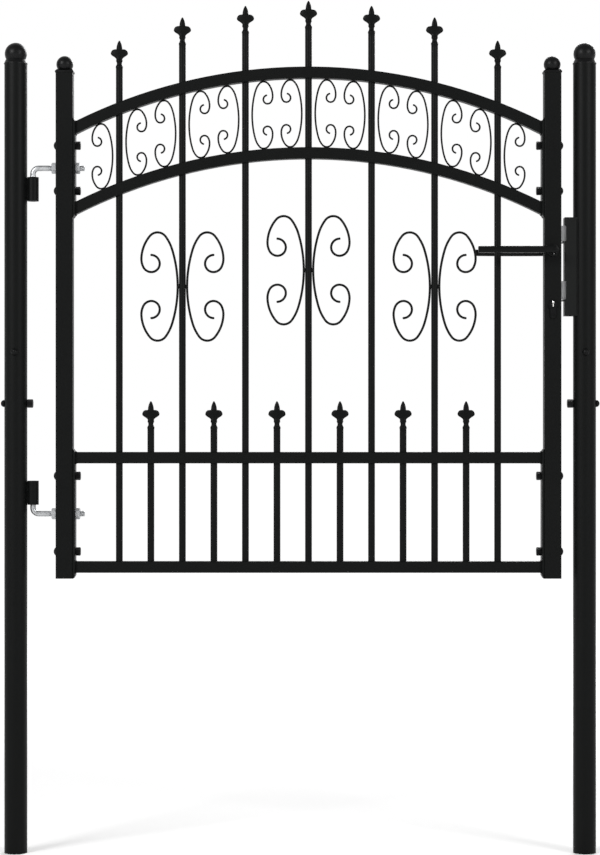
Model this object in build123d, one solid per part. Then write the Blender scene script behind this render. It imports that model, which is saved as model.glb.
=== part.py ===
from build123d import *
import math
import os

# Single garden gate of black steel with an arched, spear-topped leaf, hung between two round posts.
# Millimetres. X runs along the gate from the hinge post to the lock post, Z is up, and the front
# faces -Y. The origin is the centre of the hinge post's foot.

# Clearances between pieces that slide, plug, bolt or are welded together, and how far a cutting
# shape runs past the face that it opens
SLIDE_FIT = 0.2
HOLE_FIT = 0.25
WELD_FIT = 0.2
CUT_PAST = 1.0

# Posts: round tube in two lengths, joined end to end over an inner sleeve by two cross bolts
POST_D = 40.0
POST_WALL = 1.5
POST_RISE = 15.0
POST_LOWER_LEN = 833.0
COUPLER_LEN = 160.0
COUPLER_WALL = 1.5
POST_BOLT_D = 8.0
POST_BOLT_HEAD_D = 12.5
POST_BOLT_HEAD_H = 6.5
POST_NUT_AF = 13.0
POST_NUT_H = 10.5
POST_BOLT_RISE = 45.0

# Ball caps of the posts and of the leaf's two uprights
POST_BALL_D = 39.8
POST_BALL_RISE = 18.5
POST_NECK_D = 33.6
POST_COLLAR_D = 41.6
POST_COLLAR_H = 2.6
STILE_BALL_D = 29.6
STILE_BALL_RISE = 14.8
STILE_NECK_D = 25.6
STILE_CAP_LIP = 1.3
STILE_CAP_BASE_H = 2.4
STILE_CAP_SLOPE_H = 2.8
CAP_PLUG_DEPTH = 16.0

# Leaf: two uprights of square tube with rails of smaller square tube between them
HINGE_GAP = 51.0
LOCK_GAP = 21.8
LEAF_W = 885.2
LEAF_H = 886.6
LEAF_BOTTOM = 481.4
STILE = 30.0
STILE_WALL = 1.5
STILE_CORNER = 2.5
RAIL = 20.0
RAIL_WALL = 1.5
RAIL_CORNER = 2.0
BOTTOM_RAIL_RISE = 9.9
MID_RAIL_RISE = 201.6
ARCH_R = 920.0
ARCH_RISE = 10.2
ARCH_DROP = 141.1
ARCH_CORNER_FLAT = 1.2
ARCH_SPARE_TURN = 2.0

# End plates that carry the rail ends and are bolted to the uprights
PLATE_T = 4.0
PLATE_CHAMFER = 5.0
PLATE_CHAMFER_T = 3.0
PLATE_OVER_RAIL = 5.0
PLATE_BOLT_INSET = 47.0
STILE_BOLT_D = 8.0
STILE_BOLT_HEAD_D = 14.4
STILE_BOLT_HEAD_H = 4.7
STILE_NUT_AF = 13.2
STILE_NUT_H = 9.0
DOME_EDGE = 0.3
DOME_TOP = 0.5

# Upright bars of round tube that pass through the punched rails
BAR_D = 12.0
BAR_WALL = 1.2
TALL_BARS = 7
TIP_RISE = [108.6, 114.4, 114.3, 116.5]
SHORT_TIP_RISE = 89.0

# Cast spearheads, measured down from the tip
SPEAR_LEN = 53.5
SPEAR_TIP_W = 1.6
SPEAR_SHOULDER_W = 6.6
SPEAR_SHOULDER_Z = 5.2
SPEAR_BLADE_W = 9.8
SPEAR_BLADE_T = 7.0
SPEAR_BLADE_LEN = 17.2
SPEAR_LOBE_TOP_W = 22.6
SPEAR_LOBE_W = 30.4
SPEAR_LOBE_Z = 22.6
SPEAR_LOBE_LOW_W = 23.0
SPEAR_LOBE_LOW_Z = 27.0
SPEAR_WAIST_W = 10.4
SPEAR_WAIST_Z = 32.0
SPEAR_BEAD_D = 11.6
SPEAR_BEAD_Z = 35.4
SPEAR_BEAD_H = 2.4
SPEAR_NECK_D = 8.8
SPEAR_NECK_Z = 40.6
SPEAR_COLLAR_LIP = 0.4
SPEAR_COLLAR_Z = 46.7
SPEAR_COLLAR_H = 2.0
SPEAR_SPIGOT = 10.0

# C-scrolls of bent wire: the radius and turn of each bend from the middle of the back to the end of
# the curl. The small scroll's first radius follows from the height between the arches
SCROLL_WIRE = 4.2
SCROLL_BENDS = [
    (222.8, 16.9), (77.4, 19.1), (17.6, 55.0), (17.5, 49.5), (65.4, 36.8), (32.4, 28.8), (16.1, 54.3),
    (14.7, 98.7), (15.4, 89.1),
]
SCROLL_SIDE_RISE = 290.3
SCROLL_CENTRE_RISE = 318.9
ARCH_WIRE = 3.2
ARCH_SCROLL_BACK = 11.8
ARCH_SCROLL_TOP_X = 19.9
ARCH_SCROLL_TOP_R = 9.4
ARCH_SCROLL_BACK_TURN = 11.2
ARCH_SCROLL_SHOULDER = [(105.3, 7.1), (31.3, 24.6), (ARCH_SCROLL_TOP_R, 47.1)]
ARCH_SCROLL_CURL = [(10.7, 50.6), (33.5, 42.6), (17.9, 27.8), (7.4, 112.0), (7.6, 112.0)]

# Hinges: bent rods fixed in the leaf turn in sleeves welded to the post
SLEEVE_D = 20.0
SLEEVE_LEN = 42.0
SLEEVE_WELD_GAP = 0.3
SLEEVE_DROP = 15.8
ROD_D = 10.0
ROD_BEND_R = 10.0
ROD_END_INSIDE = 2.0
ROD_PAST_PLATE = 16.0
HINGE_NUT_AF = 17.0
HINGE_NUT_H = 8.0

# Lock in the lock-side upright: the spindle's drop below the upper end plate, and heights above and
# below the spindle
SPINDLE_DROP = 58.5
CYLINDER_DROP = 94.5
FOREND_RISE = 72.5
FOREND_DROP = 117.5
FOREND_W = 20.0
FOREND_T = 3.0
CASE_T = 15.0
CASE_BACK_GAP = 3.5
CASE_MARGIN = 8.0
LATCH_RISE = 30.5
LATCH_H = 27.0
LATCH_T = 11.0
LATCH_THROW = 12.0
LATCH_BEVEL = 9.0
LATCH_NOSE = 2.0
DEAD_DROP = 68.9
DEAD_H = 32.0
DEAD_T = 8.0
DEAD_THROW = 16.0
BOLT_TAIL = 5.0
BOLT_FIT = 0.4
CYLINDER_D = 17.0
CYLINDER_W = 10.0
CYLINDER_H = 33.0
CYLINDER_PROUD = 3.0
KEYWAY_W = 2.2
KEYWAY_H = 11.0
KEYWAY_DEPTH = 6.0

# Lever handles on one square spindle, and the round roses in which their necks turn
SPINDLE_W = 8.0
SPINDLE_FIT = 0.2
SPINDLE_HOLE_D = 18.0
LEVER_Y = 43.0
LEVER_LEN = 132.8
LEVER_H = 11.8
LEVER_T = 9.0
LEVER_EDGE_R = 2.7
NECK_GAP = 0.5
ROSE_D = 22.0
ROSE_T = 3.0
ROSE_FIT = 0.6

# Keeper channel on the lock post, with heights above and below the spindle
KEEPER_GAP = 5.8
KEEPER_W = 30.0
KEEPER_T = 2.5
KEEPER_RISE = 58.2
KEEPER_DROP = 114.0
KEEPER_CUT_FIT = 1.0
KEEPER_LIP = 3.6
KEEPER_LIP_T = 2.0
KEEPER_LIP_INSET = 1.0

# Places that follow from the sizes above
POST_R = POST_D / 2
STILE_TOP = LEAF_BOTTOM + LEAF_H
POST_TOP = STILE_TOP + POST_RISE
HINGE_X = POST_R + SLEEVE_WELD_GAP + SLEEVE_D / 2
LEAF_X0 = POST_R + HINGE_GAP
LEAF_X1 = LEAF_X0 + LEAF_W
LOCK_POST_X = LEAF_X1 + LOCK_GAP + POST_R
LEAF_MID_X = (LEAF_X0 + LEAF_X1) / 2
BAR_PITCH = LEAF_W / (TALL_BARS + 1)
PLATE_X0 = LEAF_X0 + STILE + PLATE_T
PLATE_X1 = LEAF_X1 - STILE - PLATE_T
CLEAR_HALF_W = (PLATE_X1 - PLATE_X0) / 2
UPPER_ARCH_Z = STILE_TOP + ARCH_RISE - ARCH_R
LOWER_ARCH_Z = UPPER_ARCH_Z - ARCH_DROP
BOTTOM_RAIL_Z = LEAF_BOTTOM + BOTTOM_RAIL_RISE
MID_RAIL_Z = LEAF_BOTTOM + MID_RAIL_RISE
MID_RAIL_TOP = MID_RAIL_Z + RAIL
UPPER_PLATE_TOP = UPPER_ARCH_Z + math.sqrt(ARCH_R ** 2 - CLEAR_HALF_W ** 2) + PLATE_OVER_RAIL
UPPER_PLATE_BOTTOM = LOWER_ARCH_Z + math.sqrt((ARCH_R - RAIL) ** 2 - CLEAR_HALF_W ** 2) - PLATE_OVER_RAIL
LOWER_PLATE_TOP = MID_RAIL_TOP + PLATE_OVER_RAIL
LOWER_PLATE_BOTTOM = LEAF_BOTTOM
UPPER_HINGE_Z = (UPPER_PLATE_TOP + UPPER_PLATE_BOTTOM) / 2
LOWER_HINGE_Z = (LOWER_PLATE_TOP + LOWER_PLATE_BOTTOM) / 2
STILE_BOLT_Z = [
    UPPER_PLATE_TOP - PLATE_BOLT_INSET,
    UPPER_PLATE_BOTTOM + PLATE_BOLT_INSET,
    LOWER_PLATE_TOP - PLATE_BOLT_INSET,
    LOWER_PLATE_BOTTOM + PLATE_BOLT_INSET,
]
LOCK_X = LEAF_X1 - STILE / 2
SPINDLE_Z = UPPER_PLATE_BOTTOM - SPINDLE_DROP
CASE_X0 = LEAF_X1 - STILE + STILE_WALL + CASE_BACK_GAP
CYLINDER_Z = SPINDLE_Z - CYLINDER_DROP
LATCH_Z = SPINDLE_Z + LATCH_RISE
DEAD_Z = SPINDLE_Z - DEAD_DROP
FOREND_TOP = SPINDLE_Z + FOREND_RISE
FOREND_BOTTOM = SPINDLE_Z - FOREND_DROP
KEEPER_TOP = SPINDLE_Z + KEEPER_RISE
KEEPER_BOTTOM = SPINDLE_Z - KEEPER_DROP
NECK_D = LEVER_H


def save(name, *shapes):
    """Write one named piece, or one group of like pieces, to its own file."""
    solids = [solid for shape in shapes for solid in shape.solids()]
    export_step(solids[0] if len(solids) == 1 else Compound(solids), f"parts/{name}.step")


def rod_x(diameter, x0, x1, z):
    """A round bar along X."""
    bar = Rotation(0, 90, 0) * Cylinder(diameter / 2, x1 - x0)
    return Pos((x0 + x1) / 2, 0, z) * bar


def rod_y(diameter, y0, y1, x, z):
    """A round bar along Y."""
    bar = Rotation(90, 0, 0) * Cylinder(diameter / 2, y1 - y0)
    return Pos(x, (y0 + y1) / 2, z) * bar


def rod_z(diameter, z0, z1, x):
    """A round bar along Z."""
    return Pos(x, 0, (z0 + z1) / 2) * Cylinder(diameter / 2, z1 - z0)


def block(x0, x1, y0, y1, z0, z1):
    """A rectangular block between two corners."""
    return Pos((x0 + x1) / 2, (y0 + y1) / 2, (z0 + z1) / 2) * Box(x1 - x0, y1 - y0, z1 - z0)


def round_tube(diameter, wall, z0, z1, x):
    """A round tube along Z."""
    return rod_z(diameter, z0, z1, x) - rod_z(diameter - 2 * wall, z0, z1, x)


def square_ring(side, wall, corner):
    """The section of a square tube with rounded outer corners."""
    return RectangleRounded(side, side, corner) - Rectangle(side - 2 * wall, side - 2 * wall)


def hex_nut(across, height):
    """A hexagon nut along +X from 0, its corners up and down."""
    return extrude(Plane.YZ * RegularPolygon(across / math.sqrt(3), 6, rotation=30), height)


def dome_bolt(shank_d, length, head_d, head_h, nut_af, nut_h):
    """A dome-headed bolt along +X: the head's underside is at 0 and the nut's face at length."""
    head_r = head_d / 2
    outline = Polyline(
        (0, 0), (head_r, 0), (head_r, -head_h * DOME_EDGE), (head_r * DOME_TOP, -head_h), (0, -head_h),
        close=True,
    )
    head = Rotation(0, 90, 0) * revolve(Plane.XZ * make_face(outline), Axis.Z)
    shank = rod_x(shank_d, -head_h / 2, length + nut_h / 2, 0)
    return head + shank + Pos(length, 0, 0) * hex_nut(nut_af, nut_h)


# Each post is a lower and an upper tube that butt over the coupling sleeve, drilled for its bolts
def post_bolt_holes(x):
    """The two crossing bolt holes of a post: front to back above the joint, side to side below."""
    hole_d = POST_BOLT_D + 2 * HOLE_FIT
    across = rod_y(hole_d, -POST_D, POST_D, x, POST_LOWER_LEN + POST_BOLT_RISE)
    along = rod_x(hole_d, x - POST_D, x + POST_D, POST_LOWER_LEN - POST_BOLT_RISE)
    return across + along


def post_tube(x, z0, z1):
    return round_tube(POST_D, POST_WALL, z0, z1, x) - post_bolt_holes(x)


def post_coupler(x):
    outer = POST_D - 2 * POST_WALL - 2 * SLIDE_FIT
    z0 = POST_LOWER_LEN - COUPLER_LEN / 2
    return round_tube(outer, COUPLER_WALL, z0, z0 + COUPLER_LEN, x) - post_bolt_holes(x)


def post_bolts(x, head_turn):
    """The cross bolts of one post; head_turn sets the side bolt's dome head on the outward side."""
    bolt = dome_bolt(
        POST_BOLT_D, POST_D, POST_BOLT_HEAD_D, POST_BOLT_HEAD_H, POST_NUT_AF, POST_NUT_H
    )
    bolt = Pos(-POST_R, 0, 0) * bolt
    side = Pos(x, 0, POST_LOWER_LEN - POST_BOLT_RISE) * Rotation(0, 0, head_turn)
    front = Pos(x, 0, POST_LOWER_LEN + POST_BOLT_RISE) * Rotation(0, 0, 90)
    return [side * bolt, front * bolt]


def post_cap(x):
    """A turned ball cap with a flared collar, and a plug that fills the tube's mouth."""
    collar_r = POST_COLLAR_D / 2
    neck_r = POST_NECK_D / 2
    plug_r = POST_R - POST_WALL - SLIDE_FIT
    ball_r = POST_BALL_D / 2
    neck_z = POST_BALL_RISE - math.sqrt(ball_r ** 2 - neck_r ** 2)
    outline = Polyline(
        (0, -CAP_PLUG_DEPTH), (plug_r, -CAP_PLUG_DEPTH), (plug_r, 0), (collar_r, 0),
        (collar_r, POST_COLLAR_H), (neck_r, neck_z),
    )
    ball_top = POST_BALL_RISE + ball_r
    ball = ThreePointArc((neck_r, neck_z), (ball_r, POST_BALL_RISE), (0, ball_top))
    axis_line = Line((0, ball_top), (0, -CAP_PLUG_DEPTH))
    face = Plane.XZ * make_face([outline, ball, axis_line])
    return Pos(x, 0, POST_TOP) * revolve(face, Axis.Z)


def stile_cap(x):
    """A ball on a neck over a square base with sloping shoulders, plugged into the tube."""
    base_w = STILE + 2 * STILE_CAP_LIP
    top_z = STILE_CAP_BASE_H + STILE_CAP_SLOPE_H
    base = Pos(0, 0, STILE_CAP_BASE_H / 2) * Box(base_w, base_w, STILE_CAP_BASE_H)
    low = Pos(0, 0, STILE_CAP_BASE_H) * Rectangle(base_w, base_w)
    high = Pos(0, 0, top_z) * Rectangle(STILE_NECK_D, STILE_NECK_D)
    ball = Pos(0, 0, STILE_BALL_RISE) * Sphere(STILE_BALL_D / 2)
    ball = split(ball, bisect_by=Plane.XY.offset(top_z), keep=Keep.TOP)
    plug_w = STILE - 2 * STILE_WALL - 2 * SLIDE_FIT
    plug = Pos(0, 0, -CAP_PLUG_DEPTH / 2) * Box(plug_w, plug_w, CAP_PLUG_DEPTH)
    return Pos(x, 0, STILE_TOP) * (base + loft([low, high]) + ball + plug)


# Uprights of the leaf, drilled for the plate bolts, the hinge rods and, on the lock side, the lock
def bolt_holes_x(x0, x1):
    """Holes along X for the plate bolts."""
    holes = [rod_x(STILE_BOLT_D + 2 * HOLE_FIT, x0, x1, z) for z in STILE_BOLT_Z]
    return holes[0] + holes[1:]


def rod_holes_x():
    """Holes along X for the two hinge rods, through the upright and its plates."""
    holes = [
        rod_x(ROD_D + 2 * HOLE_FIT, LEAF_X0 - CUT_PAST, PLATE_X0 + CUT_PAST, z)
        for z in (UPPER_HINGE_Z, LOWER_HINGE_Z)
    ]
    return holes[0] + holes[1:]


def stile(x0):
    section = square_ring(STILE, STILE_WALL, STILE_CORNER)
    tube = Pos(x0 + STILE / 2, 0, LEAF_BOTTOM) * extrude(section, LEAF_H)
    return tube - bolt_holes_x(x0 - CUT_PAST, x0 + STILE + CUT_PAST)


def euro_profile(grow):
    """The keyhole-shaped outline of the lock cylinder, enlarged all round by grow."""
    lobe_len = CYLINDER_H - CYLINDER_D / 2 - CYLINDER_W / 2
    lobe = Pos(0, -lobe_len) * Circle(CYLINDER_W / 2 + grow)
    web = Pos(0, -lobe_len / 2) * Rectangle(CYLINDER_W + 2 * grow, lobe_len)
    return Circle(CYLINDER_D / 2 + grow) + web + lobe


def cylinder_body(reach, grow):
    """The cylinder's profile carried front to back through the upright."""
    return Pos(LOCK_X, reach, CYLINDER_Z) * Rotation(90, 0, 0) * extrude(euro_profile(grow), 2 * reach)


def lock_stile():
    tube = stile(LEAF_X1 - STILE)
    half_w = FOREND_W / 2 + SLIDE_FIT
    forend_hole = block(
        LEAF_X1 - STILE_WALL - CUT_PAST, LEAF_X1 + CUT_PAST, -half_w, half_w,
        FOREND_BOTTOM - SLIDE_FIT, FOREND_TOP + SLIDE_FIT,
    )
    handle_hole = rod_y(SPINDLE_HOLE_D, -STILE, STILE, LOCK_X, SPINDLE_Z)
    return tube - forend_hole - handle_hole - cylinder_body(STILE, SLIDE_FIT)


def flat_plate(x, inward, z0, z1):
    """One flat plate with its end corners cut off on the open side, drawn in the gate's plane."""
    x_in = x + inward * PLATE_T
    x_cut = x_in - inward * PLATE_CHAMFER_T
    outline = Polyline(
        (x, z0), (x, z1), (x_cut, z1), (x_in, z1 - PLATE_CHAMFER), (x_in, z0 + PLATE_CHAMFER), (x_cut, z0),
        close=True,
    )
    return extrude(Plane.XZ * make_face(outline), STILE / 2, both=True)


def end_plates(x, inward):
    """The upper and the lower plate of one upright, drilled with it."""
    upper = flat_plate(x, inward, UPPER_PLATE_BOTTOM, UPPER_PLATE_TOP)
    lower = flat_plate(x, inward, LOWER_PLATE_BOTTOM, LOWER_PLATE_TOP)
    holes = bolt_holes_x(x - STILE, x + STILE)
    return [upper - holes, lower - holes]


# Rails between the end plates. The bars go through punched holes
def bar_xs():
    """The X places of the tall bars, left to right."""
    first = LEAF_MID_X - BAR_PITCH * (TALL_BARS - 1) / 2
    return [first + i * BAR_PITCH for i in range(TALL_BARS)]


def short_bar_xs():
    """The X places of the short bars, midway between the tall ones."""
    return [x + BAR_PITCH / 2 for x in bar_xs()[:-1]]


def punch(xs, z0, z1):
    """Upright holes for the bars at the given places."""
    holes = [rod_z(BAR_D + 2 * HOLE_FIT, z0, z1, x) for x in xs]
    return holes[0] + holes[1:]


def straight_rail(z, hole_bottom):
    """A straight rail whose underside is at z, punched from hole_bottom up."""
    section = Plane.YZ * square_ring(RAIL, RAIL_WALL, RAIL_CORNER)
    rail = Pos(PLATE_X0, 0, z + RAIL / 2) * extrude(section, PLATE_X1 - PLATE_X0)
    return rail - punch(bar_xs() + short_bar_xs(), hole_bottom, z + RAIL + CUT_PAST)


def arch_rail(centre_z):
    """A rail bent to the arch's radius, its ends cut square to the end plates."""
    half_angle = math.degrees(math.asin(CLEAR_HALF_W / (ARCH_R - RAIL))) + ARCH_SPARE_TURN
    outer = chamfer(Rectangle(RAIL, RAIL).vertices(), ARCH_CORNER_FLAT)
    ring = outer - Rectangle(RAIL - 2 * RAIL_WALL, RAIL - 2 * RAIL_WALL)
    section = Plane.XZ * Pos(ARCH_R - RAIL / 2, 0) * ring
    bent = Rotation(0, 0, -half_angle) * revolve(section, Axis.Z, 2 * half_angle)
    arch = Pos(LEAF_MID_X, 0, centre_z) * Rotation(0, -90, 0) * Rotation(90, 0, 0) * bent
    top_z = centre_z + ARCH_R + CUT_PAST
    span = block(PLATE_X0, PLATE_X1, -RAIL, RAIL, centre_z, top_z)
    return (arch & span) - punch(bar_xs(), centre_z, top_z)


# Upright bars and their spearheads
def arch_outer_z(x):
    """The height of the upper arch's top surface over x."""
    return UPPER_ARCH_Z + math.sqrt(ARCH_R ** 2 - (x - LEAF_MID_X) ** 2)


def tall_tip_z(index):
    """The tip of tall bar index, counted from the left; the pattern mirrors about the middle."""
    ring = min(index, TALL_BARS - 1 - index)
    return arch_outer_z(bar_xs()[index]) + TIP_RISE[ring]


def bar(x, tip_z):
    """A tube from the bottom rail's floor up to the spearhead's seat."""
    return round_tube(BAR_D, BAR_WALL, BOTTOM_RAIL_Z + RAIL_WALL, tip_z - SPEAR_LEN, x)


def spear_blade():
    """The blade and its two rounded lobes: the front outline cut down by the side outline."""
    tip = SPEAR_TIP_W / 2
    root = SPEAR_BLADE_W / 2
    lobe_top = SPEAR_LOBE_TOP_W / 2
    lobe_low = SPEAR_LOBE_LOW_W / 2
    waist = SPEAR_WAIST_W / 2
    edge = Curve() + [
        ThreePointArc((tip, 0), (SPEAR_SHOULDER_W / 2, -SPEAR_SHOULDER_Z), (root, -SPEAR_BLADE_LEN)),
        Line((root, -SPEAR_BLADE_LEN), (lobe_top, -SPEAR_BLADE_LEN)),
        ThreePointArc(
            (lobe_top, -SPEAR_BLADE_LEN), (SPEAR_LOBE_W / 2, -SPEAR_LOBE_Z), (lobe_low, -SPEAR_LOBE_LOW_Z)
        ),
        Line((lobe_low, -SPEAR_LOBE_LOW_Z), (waist, -SPEAR_WAIST_Z)),
    ]
    ends = [Line((-tip, 0), (tip, 0)), Line((-waist, -SPEAR_WAIST_Z), (waist, -SPEAR_WAIST_Z))]
    front = make_face(edge + mirror(edge, Plane.YZ) + ends)
    half_t = SPEAR_BLADE_T / 2
    side = make_face(Polyline(
        (tip, 0), (half_t, -SPEAR_BLADE_LEN), (half_t, -SPEAR_WAIST_Z), (-half_t, -SPEAR_WAIST_Z),
        (-half_t, -SPEAR_BLADE_LEN), (-tip, 0), close=True,
    ))
    front_solid = extrude(Plane.XZ * front, SPEAR_BLADE_T, both=True)
    return front_solid & extrude(Plane.YZ * side, SPEAR_LOBE_W, both=True)


def spearhead():
    """A cast spearhead with its tip at the origin, pointing up: blade, lobes, bead, neck, collar."""
    neck_r = SPEAR_NECK_D / 2
    bead_r = SPEAR_BEAD_D / 2
    socket_r = BAR_D / 2
    collar_r = socket_r + SPEAR_COLLAR_LIP
    spigot_r = socket_r - BAR_WALL - SLIDE_FIT
    outline = Polyline(
        (0, -SPEAR_LOBE_Z), (neck_r, -SPEAR_LOBE_Z), (neck_r, -SPEAR_WAIST_Z),
        (bead_r, -SPEAR_BEAD_Z + SPEAR_BEAD_H / 2), (bead_r, -SPEAR_BEAD_Z - SPEAR_BEAD_H / 2),
        (neck_r, -SPEAR_NECK_Z), (collar_r, -SPEAR_COLLAR_Z + SPEAR_COLLAR_H / 2),
        (collar_r, -SPEAR_COLLAR_Z - SPEAR_COLLAR_H / 2), (socket_r, -SPEAR_COLLAR_Z - SPEAR_COLLAR_H),
        (socket_r, -SPEAR_LEN), (spigot_r, -SPEAR_LEN), (spigot_r, -SPEAR_LEN - SPEAR_SPIGOT),
        (0, -SPEAR_LEN - SPEAR_SPIGOT), close=True,
    )
    return spear_blade() + revolve(Plane.XZ * make_face(outline), Axis.Z)


# C-scrolls: bent wire, drawn with the back to the right and both curls turned in to the left
def half_scroll(arcs, wire_w, side):
    """Bent lengths of wire chained from the middle of the back, up for side +1, down for -1."""
    point = Vector(0, 0)
    heading = Vector(0, side)
    lengths = []
    for radius, turn in arcs:
        arc = JernArc(point, heading, radius, side * turn)
        centre = point + Vector(-heading.Y, heading.X) * radius * side
        section = Plane(origin=point, x_dir=(0, 0, 1), z_dir=heading) * Rectangle(wire_w, wire_w)
        lengths.append(revolve(section, Axis(centre, Vector(0, 0, side)), turn))
        point = arc @ 1
        heading = arc % 1
    return lengths


def c_scroll(arcs, wire_w):
    """A scroll in the gate's plane, the middle of its back at the origin, its belly towards -X."""
    lengths = half_scroll(arcs, wire_w, 1) + half_scroll(arcs, wire_w, -1)
    return Rotation(90, 0, 0) * (lengths[0] + lengths[1:])


def main_scrolls():
    """The pair of large scrolls welded back to back on a bar on the Z axis."""
    back = BAR_D / 2 + WELD_FIT + SCROLL_WIRE / 2
    left = Pos(-back, 0, 0) * c_scroll(SCROLL_BENDS, SCROLL_WIRE)
    return [left, mirror(left, Plane.YZ)]


def arch_scroll_bends(half_h):
    """The bends of half a small scroll whose top is half_h above the middle of its back."""
    heading = math.radians(ARCH_SCROLL_BACK_TURN)
    back_h = half_h
    for radius, turn in ARCH_SCROLL_SHOULDER:
        back_h -= radius * (math.sin(heading + math.radians(turn)) - math.sin(heading))
        heading += math.radians(turn)
    back_r = back_h / math.sin(math.radians(ARCH_SCROLL_BACK_TURN))
    return [(back_r, ARCH_SCROLL_BACK_TURN)] + ARCH_SCROLL_SHOULDER + ARCH_SCROLL_CURL


def arch_scroll(bar_x, side):
    """A small scroll that touches both arches, to the left (-1) or right (1) of the bar at bar_x."""
    wire_r = ARCH_WIRE / 2
    top_x = bar_x + side * (ARCH_SCROLL_BACK + ARCH_SCROLL_TOP_X)
    off = top_x - LEAF_MID_X
    under_r = ARCH_R - RAIL - WELD_FIT - wire_r - ARCH_SCROLL_TOP_R
    over_r = ARCH_R + WELD_FIT + wire_r + ARCH_SCROLL_TOP_R
    high = UPPER_ARCH_Z + math.sqrt(under_r ** 2 - off ** 2)
    low = LOWER_ARCH_Z + math.sqrt(over_r ** 2 - off ** 2)
    half_h = (high - low) / 2 + ARCH_SCROLL_TOP_R
    scroll = c_scroll(arch_scroll_bends(half_h), ARCH_WIRE)
    if side > 0:
        scroll = mirror(scroll, Plane.YZ)
    return Pos(bar_x + side * ARCH_SCROLL_BACK, 0, (high + low) / 2) * scroll


# Hinges
def hinge_sleeve(z0):
    return round_tube(SLEEVE_D, (SLEEVE_D - ROD_D) / 2 - HOLE_FIT, z0, z0 + SLEEVE_LEN, HINGE_X)


def hinge_rod(z, down):
    """A bent rod: level through the upright and its plate, then down (-1) or up (+1) into the sleeve."""
    end_x = PLATE_X0 + ROD_PAST_PLATE
    pin_z = z + down * (SLEEVE_DROP + SLEEVE_LEN - ROD_END_INSIDE)
    level = Line((end_x, 0, z), (HINGE_X + ROD_BEND_R, 0, z))
    corner = RadiusArc((HINGE_X + ROD_BEND_R, z), (HINGE_X, z + down * ROD_BEND_R), down * ROD_BEND_R)
    pin = Line((HINGE_X, 0, z + down * ROD_BEND_R), (HINGE_X, 0, pin_z))
    path = Wire([level, Plane.XZ * corner, pin])
    section = Plane(origin=path @ 0, z_dir=path % 0) * Circle(ROD_D / 2)
    return sweep(section, path=path)


def hinge_nuts():
    """Two nuts on each hinge rod, either side of the upright and its plate."""
    bore = rod_x(ROD_D + 2 * SLIDE_FIT, -CUT_PAST, HINGE_NUT_H + CUT_PAST, 0)
    nut = hex_nut(HINGE_NUT_AF, HINGE_NUT_H) - bore
    nuts = []
    for z in (UPPER_HINGE_Z, LOWER_HINGE_Z):
        nuts += [Pos(PLATE_X0, 0, z) * nut, Pos(LEAF_X0, 0, z) * Rotation(0, 0, 180) * nut]
    return nuts


# Plate bolts
def stile_bolts():
    """The dome-headed bolts that hold the end plates, heads outside and nuts inside the leaf."""
    bolt = dome_bolt(
        STILE_BOLT_D, STILE + PLATE_T, STILE_BOLT_HEAD_D, STILE_BOLT_HEAD_H, STILE_NUT_AF, STILE_NUT_H
    )
    bolts = []
    for z in STILE_BOLT_Z:
        bolts += [Pos(LEAF_X0, 0, z) * bolt, Pos(LEAF_X1, 0, z) * Rotation(0, 0, 180) * bolt]
    return bolts


# Lock, handles and keeper
def bolt_slot(z, height, thickness):
    """A clear slot along X for a sliding bolt."""
    half_t = thickness / 2 + BOLT_FIT
    half_h = height / 2 + BOLT_FIT
    return block(LOCK_X - STILE, LEAF_X1 + STILE, -half_t, half_t, z - half_h, z + half_h)


def lock_case():
    """The lock's sheet case with its forend let in flush with the upright's outer face."""
    x_forend = LEAF_X1 - FOREND_T
    forend = block(x_forend, LEAF_X1, -FOREND_W / 2, FOREND_W / 2, FOREND_BOTTOM, FOREND_TOP)
    case = block(
        CASE_X0, x_forend, -CASE_T / 2, CASE_T / 2,
        FOREND_BOTTOM + CASE_MARGIN, FOREND_TOP - CASE_MARGIN,
    )
    body = forend + case - bolt_slot(LATCH_Z, LATCH_H, LATCH_T) - bolt_slot(DEAD_Z, DEAD_H, DEAD_T)
    body = body - rod_y(SPINDLE_HOLE_D, -STILE, STILE, LOCK_X, SPINDLE_Z)
    return body - cylinder_body(STILE, SLIDE_FIT)


def latch_bolt():
    """The sprung latch, thrown, with its nose bevelled on the rear side."""
    x0 = LEAF_X1 - FOREND_T - BOLT_TAIL
    x1 = LEAF_X1 + LATCH_THROW
    half_t = LATCH_T / 2
    outline = Polyline(
        (x0, -half_t), (x1, -half_t), (x1, LATCH_NOSE - half_t), (x1 - LATCH_BEVEL, half_t), (x0, half_t),
        close=True,
    )
    return Pos(0, 0, LATCH_Z - LATCH_H / 2) * extrude(make_face(outline), LATCH_H)


def dead_bolt():
    """The square dead bolt, thrown."""
    return block(
        LEAF_X1 - FOREND_T - BOLT_TAIL, LEAF_X1 + DEAD_THROW, -DEAD_T / 2, DEAD_T / 2,
        DEAD_Z - DEAD_H / 2, DEAD_Z + DEAD_H / 2,
    )


def lock_cylinder():
    """The profile cylinder with a key slot in both ends."""
    reach = STILE / 2 + CYLINDER_PROUD
    slot = block(
        LOCK_X - KEYWAY_W / 2, LOCK_X + KEYWAY_W / 2, -reach - CUT_PAST, KEYWAY_DEPTH - reach,
        CYLINDER_Z - KEYWAY_H / 2, CYLINDER_Z + KEYWAY_H / 2,
    )
    return cylinder_body(reach, 0) - slot - mirror(slot, Plane.XZ)


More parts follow.
